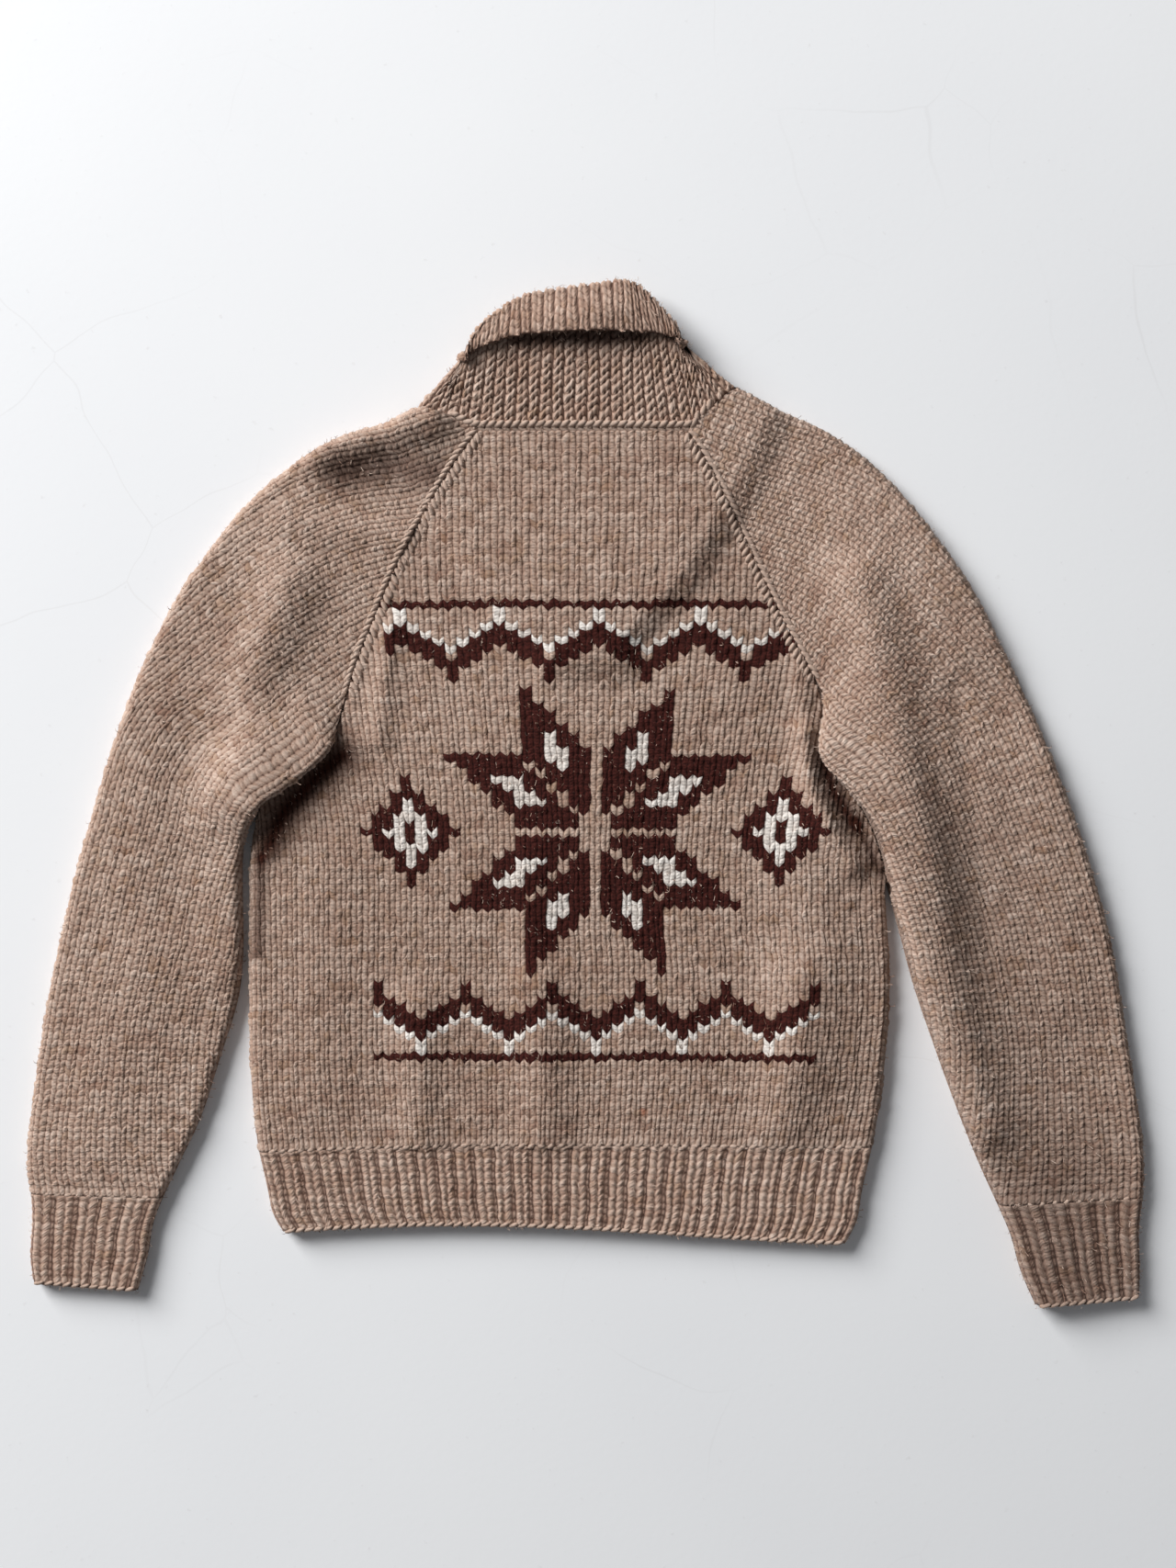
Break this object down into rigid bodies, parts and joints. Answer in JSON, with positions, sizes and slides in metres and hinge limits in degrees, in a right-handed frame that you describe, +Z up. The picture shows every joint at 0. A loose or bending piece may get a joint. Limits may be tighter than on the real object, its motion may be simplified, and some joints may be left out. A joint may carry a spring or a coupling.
{
  "type": "cowichan sweater",
  "caption": "Bulky hand-knitted raglan zip sweater with ribbed hem and cuffs and a tall folded shawl collar, laid flat with its back up.",
  "frame": {"origin": "on the surface, under the middle of the laid garment's outline", "axes": "+X from the left-hand sleeve of the view to the right-hand one, +Y from hem to collar, +Z up out of the surface, towards the back of the garment"},
  "size_m": [0.8507, 0.7786, 0.025],
  "materials": {
    "body_wool": "heathered taupe bulky wool, stockinette, matt with a soft nap, with dark brown and white knitted-in figures on the back",
    "rib_wool": "heathered taupe bulky wool, ribbed and garter knitting, matt",
    "zip_metal": "plain brass-coloured zip chain"
  },
  "bodies": {
    "root": {"back": "body_wool", "front_left": "body_wool", "front_right": "body_wool", "sleeve_left": "body_wool", "sleeve_right": "body_wool", "back_hem_rib": "rib_wool", "front_hem_rib_left": "rib_wool", "front_hem_rib_right": "rib_wool", "cuff_left": "rib_wool", "cuff_right": "rib_wool", "collar": "rib_wool", "zip_chain": "zip_metal"}
  },
  "joints": []
}
